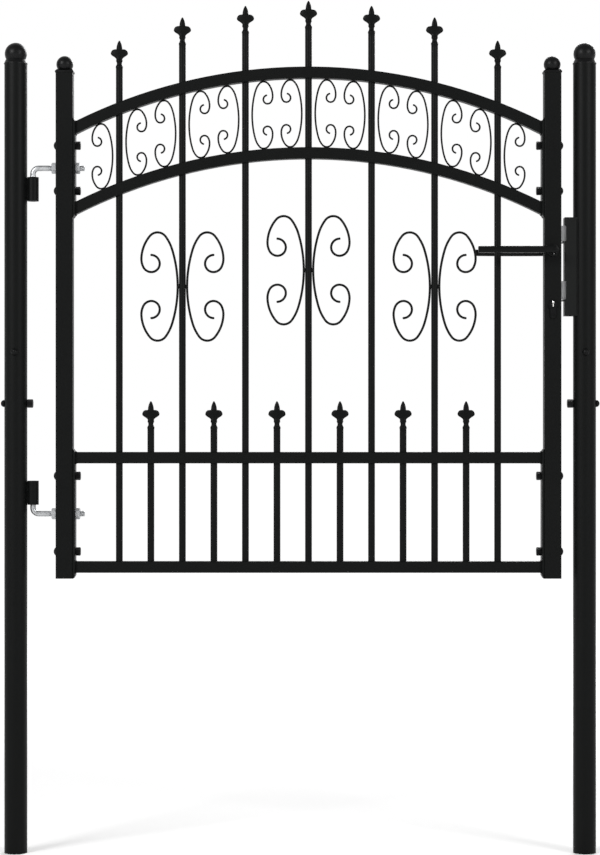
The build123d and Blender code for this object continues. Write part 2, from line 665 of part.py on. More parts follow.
def lever():
    """The rear lever: a round neck out of the rose, turned through a right angle into the grip."""
    y0 = LEVER_Y - LEVER_T / 2
    y1 = LEVER_Y + LEVER_T / 2
    grip = block(
        LOCK_X - LEVER_LEN, LOCK_X, y0, y1, SPINDLE_Z - LEVER_H / 2, SPINDLE_Z + LEVER_H / 2
    )
    grip = fillet(grip.edges().filter_by(Axis.X), LEVER_EDGE_R)
    neck = rod_y(NECK_D, STILE / 2 + NECK_GAP, y1, LOCK_X, SPINDLE_Z)
    neck = fillet(neck.edges().sort_by(Axis.Y)[-1], LEVER_EDGE_R)
    half = SPINDLE_W / 2 + SPINDLE_FIT
    return grip + neck - block(LOCK_X - half, LOCK_X + half, 0, y0, SPINDLE_Z - half, SPINDLE_Z + half)


def spindle():
    """The square bar that joins the two handles through the lock."""
    reach = LEVER_Y - LEVER_T / 2 - SPINDLE_FIT
    half = SPINDLE_W / 2
    return block(LOCK_X - half, LOCK_X + half, -reach, reach, SPINDLE_Z - half, SPINDLE_Z + half)


def handle_roses():
    """The round roses on the upright's front and rear faces, in which the necks turn."""
    front = rod_y(ROSE_D, -STILE / 2 - ROSE_T, -STILE / 2, LOCK_X, SPINDLE_Z)
    front = front - rod_y(NECK_D + 2 * ROSE_FIT, -STILE, 0, LOCK_X, SPINDLE_Z)
    return [front, mirror(front, Plane.XZ)]


def keeper():
    """A channel welded to the lock post, cut across for the two bolts, with a lip under each cut."""
    x0 = LEAF_X1 + KEEPER_GAP
    half_w = KEEPER_W / 2
    outer = block(x0, LOCK_POST_X, -half_w, half_w, KEEPER_BOTTOM, KEEPER_TOP)
    outer = fillet(outer.edges().filter_by(Axis.Z).group_by(Axis.X)[0], KEEPER_T)
    inner_w = half_w - KEEPER_T
    inner = block(x0 + KEEPER_T, LOCK_POST_X, -inner_w, inner_w, KEEPER_BOTTOM, KEEPER_TOP)
    cope = rod_z(POST_D + 2 * SLEEVE_WELD_GAP, KEEPER_BOTTOM, KEEPER_TOP, LOCK_POST_X)
    channel = outer - inner - cope
    lip_w = half_w - KEEPER_LIP_INSET
    lips = []
    for z, height in ((LATCH_Z, LATCH_H), (DEAD_Z, DEAD_H)):
        z0 = z - height / 2 - KEEPER_CUT_FIT
        z1 = z + height / 2 + KEEPER_CUT_FIT
        channel = channel - block(x0 - CUT_PAST, x0 + KEEPER_T, -half_w, half_w, z0, z1)
        lips.append(block(x0 - KEEPER_LIP, x0 + KEEPER_T, -lip_w, lip_w, z0 - KEEPER_LIP_T, z0))
    return channel + lips


os.makedirs("parts", exist_ok=True)

save("hinge_post_lower", post_tube(0, 0, POST_LOWER_LEN))
save("hinge_post_upper", post_tube(0, POST_LOWER_LEN, POST_TOP))
save("hinge_post_coupler", post_coupler(0))
save("hinge_post_bolts", *post_bolts(0, 0))
save("hinge_post_cap", post_cap(0))
save("lock_post_lower", post_tube(LOCK_POST_X, 0, POST_LOWER_LEN))
save("lock_post_upper", post_tube(LOCK_POST_X, POST_LOWER_LEN, POST_TOP))
save("lock_post_coupler", post_coupler(LOCK_POST_X))
save("lock_post_bolts", *post_bolts(LOCK_POST_X, 180))
save("lock_post_cap", post_cap(LOCK_POST_X))
save("hinge_sleeve_upper", hinge_sleeve(UPPER_HINGE_Z - SLEEVE_DROP - SLEEVE_LEN))
save("hinge_sleeve_lower", hinge_sleeve(LOWER_HINGE_Z + SLEEVE_DROP))
save("lock_keeper", keeper())

save("hinge_stile", stile(LEAF_X0) - rod_holes_x())
save("lock_stile", lock_stile())
save("hinge_stile_cap", stile_cap(LEAF_X0 + STILE / 2))
save("lock_stile_cap", stile_cap(LOCK_X))
save("hinge_side_plates", *[plate - rod_holes_x() for plate in end_plates(LEAF_X0 + STILE, 1)])
save("lock_side_plates", *end_plates(LEAF_X1 - STILE, -1))
save("bottom_rail", straight_rail(BOTTOM_RAIL_Z, BOTTOM_RAIL_Z + RAIL / 2))
save("mid_rail", straight_rail(MID_RAIL_Z, MID_RAIL_Z - CUT_PAST))
save("arch_rail_upper", arch_rail(UPPER_ARCH_Z))
save("arch_rail_lower", arch_rail(LOWER_ARCH_Z))

for i, x in enumerate(bar_xs()):
    save(f"tall_bar_{i + 1}", bar(x, tall_tip_z(i)))
short_tip_z = MID_RAIL_TOP + SHORT_TIP_RISE
save("short_bars", *[bar(x, short_tip_z) for x in short_bar_xs()])
head = spearhead()
save("tall_spearheads", *[Pos(x, 0, tall_tip_z(i)) * head for i, x in enumerate(bar_xs())])
save("short_spearheads", *[Pos(x, 0, short_tip_z) * head for x in short_bar_xs()])

scrolls = main_scrolls()
for i, rise in ((1, SCROLL_SIDE_RISE), (3, SCROLL_CENTRE_RISE), (5, SCROLL_SIDE_RISE)):
    place = Pos(bar_xs()[i], 0, MID_RAIL_TOP + rise)
    save(f"main_scrolls_bar_{i + 1}", *[place * scroll for scroll in scrolls])
save("arch_scrolls", *[arch_scroll(x, side) for x in bar_xs() for side in (-1, 1)])

save("stile_bolts", *stile_bolts())
save("hinge_rod_upper", hinge_rod(UPPER_HINGE_Z, -1))
save("hinge_rod_lower", hinge_rod(LOWER_HINGE_Z, 1))
save("hinge_nuts", *hinge_nuts())
save("lock_case", lock_case())
save("lock_cylinder", lock_cylinder())
save("handle_roses", *handle_roses())
save("lever_rear", lever())
save("lever_front", mirror(lever(), Plane.XZ))
save("handle_spindle", spindle())
save("latch_bolt", latch_bolt())
save("dead_bolt", dead_bolt())
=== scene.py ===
import math

import bmesh
import bpy
from mathutils import Matrix, Vector


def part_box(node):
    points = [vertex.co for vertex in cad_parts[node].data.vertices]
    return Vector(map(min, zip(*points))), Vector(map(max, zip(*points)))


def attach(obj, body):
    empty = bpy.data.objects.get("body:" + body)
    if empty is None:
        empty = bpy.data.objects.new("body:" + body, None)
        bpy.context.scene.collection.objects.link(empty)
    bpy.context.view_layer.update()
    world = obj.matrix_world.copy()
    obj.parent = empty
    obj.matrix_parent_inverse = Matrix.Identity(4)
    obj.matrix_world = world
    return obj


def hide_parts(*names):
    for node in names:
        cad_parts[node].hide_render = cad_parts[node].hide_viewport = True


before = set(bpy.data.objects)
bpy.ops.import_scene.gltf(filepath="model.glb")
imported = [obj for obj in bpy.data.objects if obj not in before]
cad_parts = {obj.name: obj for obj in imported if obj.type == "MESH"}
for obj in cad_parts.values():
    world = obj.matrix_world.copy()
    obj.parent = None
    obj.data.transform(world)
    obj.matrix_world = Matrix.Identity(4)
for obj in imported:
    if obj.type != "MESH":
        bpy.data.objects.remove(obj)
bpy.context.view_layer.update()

# The camera stands level and square to the gate, a little over four metres in front of it, at half
# the gate's height, as for a catalogue picture.
photo_size = (600, 855)
photo_scale = 0.001755
camera_distance = 4.3
camera_height = 0.7459
camera_x = 0.4987
sensor_long_side = 36.0
camera = bpy.data.objects.new("camera", bpy.data.cameras.new("camera"))
camera.location = (camera_x, -camera_distance, camera_height)
camera.rotation_euler = (math.radians(90), 0, 0)
camera.data.sensor_fit = "AUTO"
camera.data.sensor_width = sensor_long_side
camera.data.lens = sensor_long_side * camera_distance / (photo_size[1] * photo_scale)
bpy.context.scene.collection.objects.link(camera)
bpy.context.scene.camera = camera
bpy.context.scene.view_settings.view_transform = "Standard"


# A plain studio: a room of even light with a white backdrop behind the gate, which the camera sees
# all round and polished metal mirrors too, and soft lamps high on both sides and behind.
def room_node(tree, kind, settings, inputs):
    """Adds a node to the world or the floor: its settings first, then values and links."""
    made = tree.nodes.new(kind)
    for name, value in settings.items():
        setattr(made, name, value)
    for name, value in inputs.items():
        if isinstance(value, bpy.types.NodeSocket):
            tree.links.new(value, made.inputs[name])
        else:
            made.inputs[name].default_value = value
    return made


def room_math(tree, operation, first, second):
    return room_node(tree, "ShaderNodeMath", {"operation": operation}, {0: first, 1: second}).outputs[0]


room_light = 0.30
world = bpy.data.worlds.new("studio")
bpy.context.scene.world = world
world.use_nodes = True
sky = world.node_tree
sky.nodes.clear()
sky_rays = room_node(sky, "ShaderNodeLightPath", {}, {})
sky_way = room_node(sky, "ShaderNodeTexCoord", {}, {})
sky_axes = room_node(sky, "ShaderNodeSeparateXYZ", {}, {"Vector": sky_way.outputs["Object"]})
backdrop = room_node(
    sky, "ShaderNodeMapRange", {"interpolation_type": "SMOOTHSTEP"},
    {"Value": sky_axes.outputs["Y"], "From Min": 0.15, "From Max": 0.55},
)
mirrored = room_math(
    sky, "MAXIMUM", sky_rays.outputs["Is Glossy Ray"], sky_rays.outputs["Is Transmission Ray"]
)
mirrored = room_math(sky, "MULTIPLY", mirrored, backdrop.outputs["Result"])
sky_white = room_node(sky, "ShaderNodeBackground", {}, {"Color": (1, 1, 1, 1), "Strength": 1.0})
sky_room = room_node(sky, "ShaderNodeBackground", {}, {"Color": (1, 1, 1, 1), "Strength": room_light})
sky_mix = room_node(
    sky, "ShaderNodeMixShader", {},
    {
        "Fac": room_math(sky, "MAXIMUM", sky_rays.outputs["Is Camera Ray"], mirrored),
        1: sky_room.outputs["Background"], 2: sky_white.outputs["Background"],
    },
)
room_node(sky, "ShaderNodeOutputWorld", {}, {"Surface": sky_mix.outputs["Shader"]})

for lamp_name, place, size, power in (
    ("key_lamp", (-2.6, -3.4, 3.0), 1.6, 150),
    ("fill_lamp", (3.4, -3.0, 2.6), 1.1, 75),
    ("back_lamp", (1.6, 3.6, 3.0), 2.0, 130),
):
    lamp = bpy.data.objects.new(lamp_name, bpy.data.lights.new(lamp_name, "AREA"))
    lamp.data.size = size
    lamp.data.energy = power
    lamp.location = place
    aim = Vector((camera_x, 0, camera_height)) - Vector(place)
    lamp.rotation_euler = aim.to_track_quat("-Z", "Y").to_euler()
    bpy.context.scene.collection.objects.link(lamp)

# The floor is a matt white sheet that runs on to the horizon. Where it is seen, some white of its
# own is added, more of it beyond the lamps, so that it joins the backdrop and keeps a soft shadow.
near_glow = 0.20
far_glow = 0.78
floor_form = bmesh.new()
bmesh.ops.create_grid(floor_form, x_segments=1, y_segments=1, size=60)
floor_mesh = bpy.data.meshes.new("floor")
floor_form.to_mesh(floor_mesh)
floor_form.free()
floor = bpy.data.objects.new("floor", floor_mesh)
bpy.context.scene.collection.objects.link(floor)
floor_paint = bpy.data.materials.new("floor_white")
floor_paint.use_nodes = True
floor_tree = floor_paint.node_tree
floor_tree.nodes.clear()
floor_place = room_node(floor_tree, "ShaderNodeTexCoord", {}, {})
floor_reach = room_node(
    floor_tree, "ShaderNodeVectorMath", {"operation": "LENGTH"}, {0: floor_place.outputs["Object"]}
)
floor_glow = room_node(
    floor_tree, "ShaderNodeMapRange", {"interpolation_type": "SMOOTHSTEP"},
    {
        "Value": floor_reach.outputs["Value"], "From Min": 1.0, "From Max": 6.0,
        "To Min": near_glow, "To Max": far_glow,
    },
)
floor_rays = room_node(floor_tree, "ShaderNodeLightPath", {}, {})
floor_seen = room_math(
    floor_tree, "MAXIMUM", floor_rays.outputs["Is Camera Ray"], floor_rays.outputs["Is Transmission Ray"]
)
floor_seen = room_math(floor_tree, "MAXIMUM", floor_seen, floor_rays.outputs["Is Glossy Ray"])
floor_matt = room_node(floor_tree, "ShaderNodeBsdfDiffuse", {}, {"Color": (0.8, 0.8, 0.8, 1)})
floor_white = room_node(
    floor_tree, "ShaderNodeEmission", {}, {"Color": (1, 1, 1, 1), "Strength": floor_glow.outputs["Result"]}
)
floor_both = room_node(
    floor_tree, "ShaderNodeAddShader", {},
    {0: floor_matt.outputs["BSDF"], 1: floor_white.outputs["Emission"]},
)
floor_mix = room_node(
    floor_tree, "ShaderNodeMixShader", {},
    {"Fac": floor_seen, 1: floor_matt.outputs["BSDF"], 2: floor_both.outputs["Shader"]},
)
room_node(floor_tree, "ShaderNodeOutputMaterial", {}, {"Surface": floor_mix.outputs["Shader"]})
floor_mesh.materials.append(floor_paint)


# Posts: two lengths of 40 mm steel tube butted over an inner sleeve. Like nearly all of the gate
# they are sprayed with a satin black powder, which cures with a fine orange peel.
class Value:
    """A shader socket that adds and multiplies like a number."""

    def __init__(self, paint, socket):
        self.paint = paint
        self.socket = socket

    def combine(self, operation, first, second):
        made = self.paint.node("ShaderNodeMath", {"operation": operation}, {0: first, 1: second})
        return Value(self.paint, made.outputs["Value"])

    def __add__(self, other):
        return self.combine("ADD", self, other)

    def __radd__(self, other):
        return self.combine("ADD", other, self)

    def __sub__(self, other):
        return self.combine("SUBTRACT", self, other)

    def __rsub__(self, other):
        return self.combine("SUBTRACT", other, self)

    def __mul__(self, other):
        return self.combine("MULTIPLY", self, other)

    def __rmul__(self, other):
        return self.combine("MULTIPLY", other, self)


class Paint:
    """One finish and its shader, with a method that adds any other node."""

    def __init__(self, name):
        self.material = bpy.data.materials.new(name)
        self.material.use_nodes = True
        self.tree = self.material.node_tree
        self.shader = self.tree.nodes["Principled BSDF"]
        self.place = Value(self, self.node("ShaderNodeTexCoord", {}, {}).outputs["Object"])

    def node(self, kind, settings, inputs):
        """Adds a node: its settings first, then the values and links of its sockets."""
        made = self.tree.nodes.new(kind)
        for name, value in settings.items():
            setattr(made, name, value)
        for name, value in inputs.items():
            self.feed(made.inputs[name], value)
        return made

    def feed(self, socket, value):
        if isinstance(value, Value):
            self.tree.links.new(value.socket, socket)
        else:
            socket.default_value = value

    def set(self, **inputs):
        for name, value in inputs.items():
            self.feed(self.shader.inputs[name.replace("_", " ")], value)

    def noise(self, scale, detail=2.0, rough=0.5, place=None):
        made = self.node(
            "ShaderNodeTexNoise", {},
            {"Vector": place or self.place, "Scale": scale, "Detail": detail, "Roughness": rough},
        )
        return Value(self, made.outputs["Fac"])

    def stretched(self, x, y, z):
        """Object coordinates drawn out, for grain that runs one way."""
        made = self.node("ShaderNodeVectorMath", {"operation": "MULTIPLY"}, {0: self.place, 1: (x, y, z)})
        return Value(self, made.outputs["Vector"])

    def along(self, axis):
        """The place along one axis of the gate, in metres."""
        made = self.node("ShaderNodeSeparateXYZ", {}, {"Vector": self.place})
        return Value(self, made.outputs[axis])

    def fade(self, value, start, end):
        """Zero at start, one at end and a smooth change between them."""
        made = self.node(
            "ShaderNodeMapRange", {"interpolation_type": "SMOOTHSTEP"},
            {"Value": value, "From Min": start, "From Max": end},
        )
        return Value(self, made.outputs["Result"])

    def blend(self, share, first, second):
        made = self.node("ShaderNodeMix", {"data_type": "RGBA"}, {0: share, 6: first, 7: second})
        return Value(self, made.outputs[2])

    def bump(self, height, distance, strength=1.0):
        made = self.node(
            "ShaderNodeBump", {}, {"Height": height, "Distance": distance, "Strength": strength}
        )
        return Value(self, made.outputs["Normal"])


def powder_coat(name, dark, light, gloss, peel_height, shine):
    """Sprayed and baked powder: soft clouds of tone, orange peel, and a few dust specks."""
    paint = Paint(name)
    clouds = paint.noise(6.0, 4.0, 0.6)
    peel = paint.noise(620.0, 2.0, 0.5)
    dust = paint.fade(paint.noise(240.0, 3.0, 0.7), 0.66, 0.74)
    paint.set(
        Base_Color=paint.blend(0.8 * clouds + 0.5 * dust, dark, light),
        Roughness=gloss + 0.10 * clouds + 0.05 * peel + 0.08 * dust,
        Normal=paint.bump(peel + 0.5 * dust, peel_height, 0.6),
    )
    paint.shader.inputs["Specular IOR Level"].default_value = shine
    return paint.material


coat = powder_coat(
    "black_powder_coat", (0.0034, 0.0038, 0.0037, 1), (0.0056, 0.0061, 0.0059, 1), 0.38, 0.00010, 0.09
)


def finish_nodes(material, *names):
    """Gives these frame pieces this finish."""
    for name in names:
        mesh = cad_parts[name].data
        mesh.materials.clear()
        mesh.materials.append(material)


mm = 0.001
post_radius = 20 * mm
hinge_post_x = 0.0
lock_post_x = 998 * mm
post_joint_z = 833 * mm
post_top_z = 1383 * mm
finish_nodes(
    coat, "hinge_post_lower", "hinge_post_upper", "hinge_post_coupler",
    "lock_post_lower", "lock_post_upper", "lock_post_coupler",
)


# Two dome-headed bolts cross each post at the joint, one front to back above it and one side to side
# below it, each under a hexagon cap nut. They are zinc plated under a thin black lacquer.
def draw_outline(form, *steps):
    """Half the section of a turned piece, bottom to top: corners (radius, height), and arcs
    (turn, radius, height) about a centre, whose turn in degrees is positive towards the axis."""
    corner = None
    for step in steps:
        if len(step) == 2:
            fresh = form.verts.new((step[0], 0, step[1]))
            if corner:
                form.edges.new((corner, fresh))
            corner = fresh
        else:
            turn, radius, height = step
            count = max(2, math.ceil(abs(turn) / 7))
            swung = bmesh.ops.spin(
                form, geom=[corner], cent=(radius, 0, height), axis=(0, -1, 0),
                angle=math.radians(turn), steps=count,
            )
            corner = [part for part in swung["geom_last"] if isinstance(part, bmesh.types.BMVert)][0]


def turn_round(form, count=48):
    """Turns the outline once round the Z axis and closes it."""
    bmesh.ops.spin(
        form, geom=form.verts[:] + form.edges[:], cent=(0, 0, 0), axis=(0, 0, 1),
        angle=math.radians(360), steps=count, use_merge=True,
    )
    bmesh.ops.remove_doubles(form, verts=form.verts[:], dist=0.002 * mm)


def cut_flat(form, point, outward):
    """Cuts away what lies outside a plane and closes the cut."""
    bmesh.ops.bisect_plane(
        form, geom=form.verts[:] + form.edges[:] + form.faces[:], plane_co=point, plane_no=outward,
        clear_outer=True,
    )
    bmesh.ops.holes_fill(form, edges=[edge for edge in form.edges if edge.is_boundary])


def hexagon_nut(across, height, flare=0.0):
    """A nut from z = 0 up, its corners turned down to a cone at both ends."""
    form = bmesh.new()
    corner_radius = across / math.sqrt(3)
    up = Matrix.Rotation(math.radians(30), 4, "Z")
    bmesh.ops.create_cone(
        form, cap_ends=True, segments=6, radius1=corner_radius, radius2=corner_radius + flare,
        depth=height, matrix=up @ Matrix.Translation((0, 0, height / 2)),
    )
    for end, lean in ((0.0, -1), (height, 1)):
        for i in range(36):
            around = math.radians(10 * i)
            out = Vector((math.cos(around), math.sin(around), 0))
            cut_flat(
                form, out * across * 0.48 + Vector((0, 0, end)), out * 0.5 + Vector((0, 0, lean * 0.87))
            )
    return form


def joined(*forms):
    """One bmesh that holds several shapes."""
    together = bmesh.new()
    for form in forms:
        pattern = bpy.data.meshes.new("pattern")
        form.to_mesh(pattern)
        form.free()
        together.from_mesh(pattern)
        bpy.data.meshes.remove(pattern)
    return together


def repeated(form, places):
    """One bmesh with the shape at each of these places."""
    pattern = bpy.data.meshes.new("pattern")
    form.to_mesh(pattern)
    form.free()
    together = bmesh.new()
    for place in places:
        pattern.transform(place)
        together.from_mesh(pattern)
        pattern.transform(place.inverted())
    bpy.data.meshes.remove(pattern)
    return together


def moved(form, place):
    bmesh.ops.transform(form, matrix=place, verts=form.verts[:])
    return form


def make_piece(name, form, material, slot, body, *nodes):
    """Makes the shape a finished piece on a moving body, in place of these frame pieces."""
    bmesh.ops.remove_doubles(form, verts=form.verts[:], dist=0.002 * mm)
    bmesh.ops.recalc_face_normals(form, faces=form.faces[:])
    for face in form.faces:
        face.smooth = True
    for edge in form.edges:
        edge.smooth = edge.calc_face_angle(0) < math.radians(32)
    mesh = bpy.data.meshes.new(name)
    form.to_mesh(mesh)
    form.free()
    mesh.materials.append(material)
    piece = bpy.data.objects.new(name, mesh)
    bpy.context.scene.collection.objects.link(piece)
    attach(piece, body)
    if nodes:
        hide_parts(*nodes)
    return piece


def domed_bolt(shank, length, head, head_height, across, nut_height, flare):
    """A bolt along +Z: the head's underside at 0, the nut from length up."""
    form = bmesh.new()
    head_radius = head / 2
    rim = head_height * 0.28
    rise = head_height - rim
    dome_radius = (head_radius ** 2 + rise ** 2) / (2 * rise)
    draw_outline(
        form, (0, -head_height),
        (math.degrees(math.asin(head_radius / dome_radius)), 0, dome_radius - head_height),
        (head_radius, -rim * 0.3), (head_radius - rim * 0.3, 0), (shank / 2, 0),
        (shank / 2, length + nut_height / 2), (0, length + nut_height / 2),
    )
    turn_round(form, 40)
    nut = moved(hexagon_nut(across, nut_height, flare), Matrix.Translation((0, 0, length)))
    return joined(form, nut)


z_to_back = Matrix.Rotation(math.radians(-90), 4, "X")
z_to_right = Matrix.Rotation(math.radians(90), 4, "Y")
z_to_left = Matrix.Rotation(math.radians(-90), 4, "Y")
post_bolt_rise = 45 * mm
fastener = powder_coat(
    "black_fasteners", (0.0030, 0.0032, 0.0034, 1), (0.0058, 0.0060, 0.0062, 1), 0.34, 0.00005, 0.11
)
for name, x, across_turn in (
    ("hinge_post_bolts", hinge_post_x, z_to_right), ("lock_post_bolts", lock_post_x, z_to_left),
):
    through = Matrix.Translation((0, 0, -post_radius))
    post_bolts = repeated(
        domed_bolt(8 * mm, 2 * post_radius, 12.4 * mm, 6.4 * mm, 12.9 * mm, 10.4 * mm, 0.0),
        (
            Matrix.Translation((x, 0, post_joint_z - post_bolt_rise)) @ across_turn @ through,
            Matrix.Translation((x, 0, post_joint_z + post_bolt_rise)) @ z_to_back @ through,
        ),
    )
    make_piece(name + "_domed", post_bolts, fastener, "black_fasteners", "posts", name)

# Ball caps: moulded plugs of satin black plastic pressed into the post tubes, a round ball on a
# waisted collar that overhangs the tube by less than a millimetre.
ball_radius = 19.85 * mm
ball_rise = 18.5 * mm
cap_neck = 16.6 * mm
cap_collar = 20.75 * mm
cap_plastic = powder_coat(
    "black_caps", (0.0034, 0.0036, 0.0038, 1), (0.0050, 0.0052, 0.0054, 1), 0.33, 0.00003, 0.15
)
for name, x in (("hinge_post_cap", hinge_post_x), ("lock_post_cap", lock_post_x)):
    cap = bmesh.new()
    neck_rise = ball_rise - math.sqrt(ball_radius ** 2 - cap_neck ** 2)
    ball_turn = 90 + math.degrees(math.asin((ball_rise - neck_rise) / ball_radius))
    draw_outline(
        cap, (0, -15.5 * mm), (17.8 * mm, -15.5 * mm), (18.2 * mm, -14 * mm), (18.2 * mm, 0),
        (cap_collar - 0.5 * mm, 0), (cap_collar, 0.5 * mm), (cap_collar, 1.9 * mm),
        (cap_collar - 0.7 * mm, 2.7 * mm), (cap_neck + 1.1 * mm, neck_rise + 0.3 * mm),
        (cap_neck, neck_rise + 0.9 * mm), (ball_turn - 3, 0, ball_rise), (0, ball_rise + ball_radius),
    )
    turn_round(cap, 64)
    make_piece(
        name + "_ball", moved(cap, Matrix.Translation((x, 0, post_top_z))), cap_plastic,
        "black_caps", "posts", name,
    )


# Hinge sleeves: short thick tubes welded upright along the hinge post. The weld runs down both sides
# of the line where sleeve and post meet, as a row of overlapping ripples under the paint.
def drawn_on(form, edges):
    """Extrudes an open rim where it stands, for the caller to move: its new corners and edges."""
    grown = bmesh.ops.extrude_edge_only(form, edges=edges)["geom"]
    ring = [part for part in grown if isinstance(part, bmesh.types.BMVert)]
    return ring, [part for part in grown if isinstance(part, bmesh.types.BMEdge)]


def weld_bead(start, end, radius, ripple=1.3 * mm):
    """A rounded bead of weld from start to end, with its ripples."""
    form = bmesh.new()
    run = Vector(end) - Vector(start)
    count = max(4, round(run.length / (ripple / 2)))
    ring = bmesh.ops.create_circle(form, segments=10, radius=radius * 0.45)["verts"]
    form.faces.new(ring)
    edges = form.edges[:]
    swell = 0.45
    for i in range(count):
        fresh_swell = (0.86, 1.0)[i % 2]
        if i == count - 1:
            fresh_swell = 0.45
        ring, edges = drawn_on(form, edges)
        factor = fresh_swell / swell
        bmesh.ops.scale(form, vec=(factor, factor, 1), verts=ring)
        bmesh.ops.translate(form, vec=(0, 0, run.length / count), verts=ring)
        swell = fresh_swell
    bmesh.ops.holes_fill(form, edges=edges)
    turn = run.to_track_quat("Z", "Y").to_matrix().to_4x4()
    return moved(form, Matrix.Translation(start) @ turn)


finish_nodes(coat, "hinge_sleeve_upper", "hinge_sleeve_lower")
sleeve_beads = []
for node in ("hinge_sleeve_upper", "hinge_sleeve_lower"):
    low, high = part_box(node)
    for side in (-1, 1):
        sleeve_beads.append(weld_bead(
            (low.x - 0.4 * mm, side * 3.2 * mm, low.z + 2 * mm),
            (low.x - 0.4 * mm, side * 3.2 * mm, high.z - 2 * mm), 2.4 * mm,
        ))
make_piece("hinge_sleeve_welds", joined(*sleeve_beads), coat, "black_powder_coat", "posts")

# Keeper: a pressed channel welded to the lock post, with two square cuts that take the bolts and a
# bent lip under each. The bolts have begun to polish the paint off the lips.
keeper_coat = Paint("keeper_coat")
keeper_clouds = keeper_coat.noise(6.0, 4.0, 0.6)
keeper_peel = keeper_coat.noise(620.0, 2.0, 0.5)
keeper_scratches = keeper_coat.noise(900.0, 3.0, 0.6, keeper_coat.stretched(0.15, 1, 1))
keeper_scuffs = keeper_coat.fade(keeper_scratches, 0.60, 0.72)
keeper_lips = keeper_scuffs * (1 - keeper_coat.fade(keeper_coat.along("X"), 0.9605, 0.9625))
keeper_coat.set(
    Base_Color=keeper_coat.blend(
        keeper_lips,
        keeper_coat.blend(keeper_clouds, (0.0040, 0.0046, 0.0044, 1), (0.0066, 0.0073, 0.0070, 1)),
        (0.20, 0.20, 0.20, 1),
    ),
    Metallic=0.9 * keeper_lips,
    Roughness=0.42 + 0.10 * keeper_clouds,
    Normal=keeper_coat.bump(keeper_peel, 0.00010, 0.6),
)
keeper_coat.shader.inputs["Specular IOR Level"].default_value = 0.16
finish_nodes(keeper_coat.material, "lock_keeper")
keeper_low, keeper_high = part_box("lock_keeper")
keeper_beads = [
    weld_bead(
        (lock_post_x - 13.6 * mm, side * 15.2 * mm, keeper_low.z + 3 * mm),
        (lock_post_x - 13.6 * mm, side * 15.2 * mm, keeper_high.z - 3 * mm), 1.7 * mm,
    )
    for side in (-1, 1)
]
make_piece("lock_keeper_welds", joined(*keeper_beads), coat, "black_powder_coat", "posts")

# Leaf frame: two uprights of 30 mm square tube, straight and bent rails of 20 mm tube punched for
# the bars, and the flat end plates that the rail ends are welded to before the leaf is bolted up.
leaf_left = 71 * mm
leaf_right = 956.2 * mm
leaf_middle = (leaf_left + leaf_right) / 2
stile_width = 30 * mm
plate_thickness = 4 * mm
rail_height = 20 * mm
leaf_top_z = 1368 * mm
finish_nodes(
    coat, "hinge_stile", "lock_stile", "hinge_side_plates", "lock_side_plates", "bottom_rail",
    "mid_rail", "arch_rail_upper", "arch_rail_lower",
)
arch_radius = 920 * mm
upper_arch_z = leaf_top_z + 10.2 * mm - arch_radius
lower_arch_z = upper_arch_z - 141.1 * mm
plate_faces = (leaf_left + stile_width + plate_thickness, leaf_right - stile_width - plate_thickness)
rail_beads = []
for face_x, inward in zip(plate_faces, (1, -1)):
    bead_x = face_x + inward * 0.4 * mm
    off = face_x - leaf_middle
    heights = [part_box(node)[k].z for node in ("bottom_rail", "mid_rail") for k in (0, 1)]
    for arch_z in (upper_arch_z, lower_arch_z):
        heights += [
            arch_z + math.sqrt(arch_radius ** 2 - off ** 2),
            arch_z + math.sqrt((arch_radius - rail_height) ** 2 - off ** 2),
        ]
    rail_beads += [weld_bead((bead_x, -8.5 * mm, z), (bead_x, 8.5 * mm, z), 1.5 * mm) for z in heights]
make_piece("rail_end_welds", joined(*rail_beads), coat, "black_powder_coat", "gate_leaf")

# Upright caps: black plastic like the post caps, a square moulded base with sloping shoulders and a
# ball on top, pressed into the open end of each upright.
for name, x in (
    ("hinge_stile_cap", leaf_left + stile_width / 2), ("lock_stile_cap", leaf_right - stile_width / 2),
):
    base = bmesh.new()
    bmesh.ops.create_cube(base, size=1.0, matrix=Matrix.Diagonal((32.4 * mm, 32.4 * mm, 2.4 * mm, 1)))
    bmesh.ops.translate(base, vec=(0, 0, 1.2 * mm), verts=base.verts[:])
    upright_edges = [edge for edge in base.edges if abs(edge.verts[0].co.z - edge.verts[1].co.z) > mm]
    bmesh.ops.bevel(
        base, geom=upright_edges, offset=2.6 * mm, segments=4, affect="EDGES", profile=0.5, material=-1
    )
    for inset, rise in ((0.7 * mm, 0.5 * mm), (2.9 * mm, 1.9 * mm), (1.2 * mm, 0.2 * mm)):
        top = max(base.faces, key=lambda face: face.calc_center_median().z)
        bmesh.ops.inset_region(base, faces=[top], thickness=inset, depth=0.0)
        bmesh.ops.translate(base, vec=(0, 0, rise), verts=top.verts)
    plug = bmesh.new()
    bmesh.ops.create_cube(plug, size=1.0, matrix=Matrix.Diagonal((26.4 * mm, 26.4 * mm, 15.6 * mm, 1)))
    bmesh.ops.translate(plug, vec=(0, 0, -7.8 * mm), verts=plug.verts[:])
    ball = bmesh.new()
    stile_ball = 14.8 * mm
    draw_outline(
        ball, (0, 3 * mm), (11.6 * mm, 3 * mm), (10.9 * mm, 4.3 * mm), (10.9 * mm, 4.8 * mm),
        (132, 0, stile_ball), (0, 2 * stile_ball),
    )
    turn_round(ball, 48)
    cap = moved(joined(base, plug, ball), Matrix.Translation((x, 0, leaf_top_z)))
    make_piece(name + "_ball", cap, cap_plastic, "black_caps", "gate_leaf", name)

# Upright bars: 12 mm round tube, powder coated with the rails that they pass through, seven long ones
# through all the rails and six short ones between them through the lower two.
bar_pitch = (leaf_right - leaf_left) / 8
bar_xs = [leaf_middle + (i - 3) * bar_pitch for i in range(7)]
bar_radius = 6 * mm
bar_nodes = ["tall_bar_%d" % (i + 1) for i in range(7)]
finish_nodes(coat, "short_bars", *bar_nodes)


